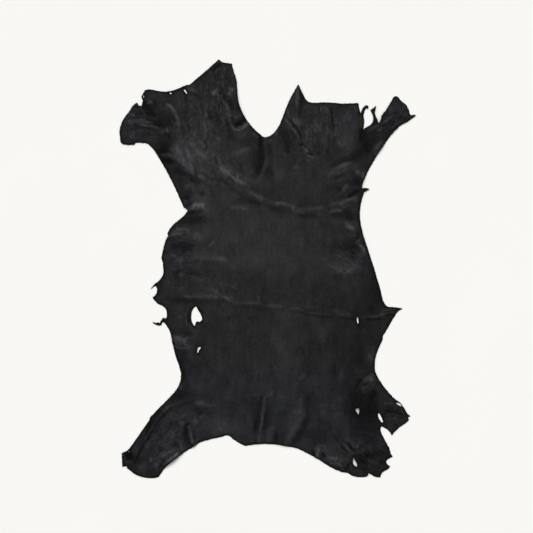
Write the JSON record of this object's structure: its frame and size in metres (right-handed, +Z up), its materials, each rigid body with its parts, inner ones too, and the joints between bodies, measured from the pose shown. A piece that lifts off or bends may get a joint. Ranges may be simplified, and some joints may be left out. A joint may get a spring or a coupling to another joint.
{
  "type": "leather hide",
  "caption": "Whole black leather hide lying grain side up, with its raw outline of neck and leg lobes, natural flaws and torn places, a soft ridge across the shoulders and shallow folds.",
  "frame": {"origin": "middle of the hide's length and width, on the surface that it lies on", "axes": "+Y along the hide towards the neck, +Z up out of the grain side, +X to the right with the neck at the top"},
  "size_m": [0.7779, 1.1, 0.0133],
  "materials": {
    "hide_leather": "semi-matte black dyed grain with fine pebbling, a dark suede flesh side and raw cut edges"
  },
  "bodies": {
    "root": {"hide": "hide_leather"}
  },
  "joints": []
}
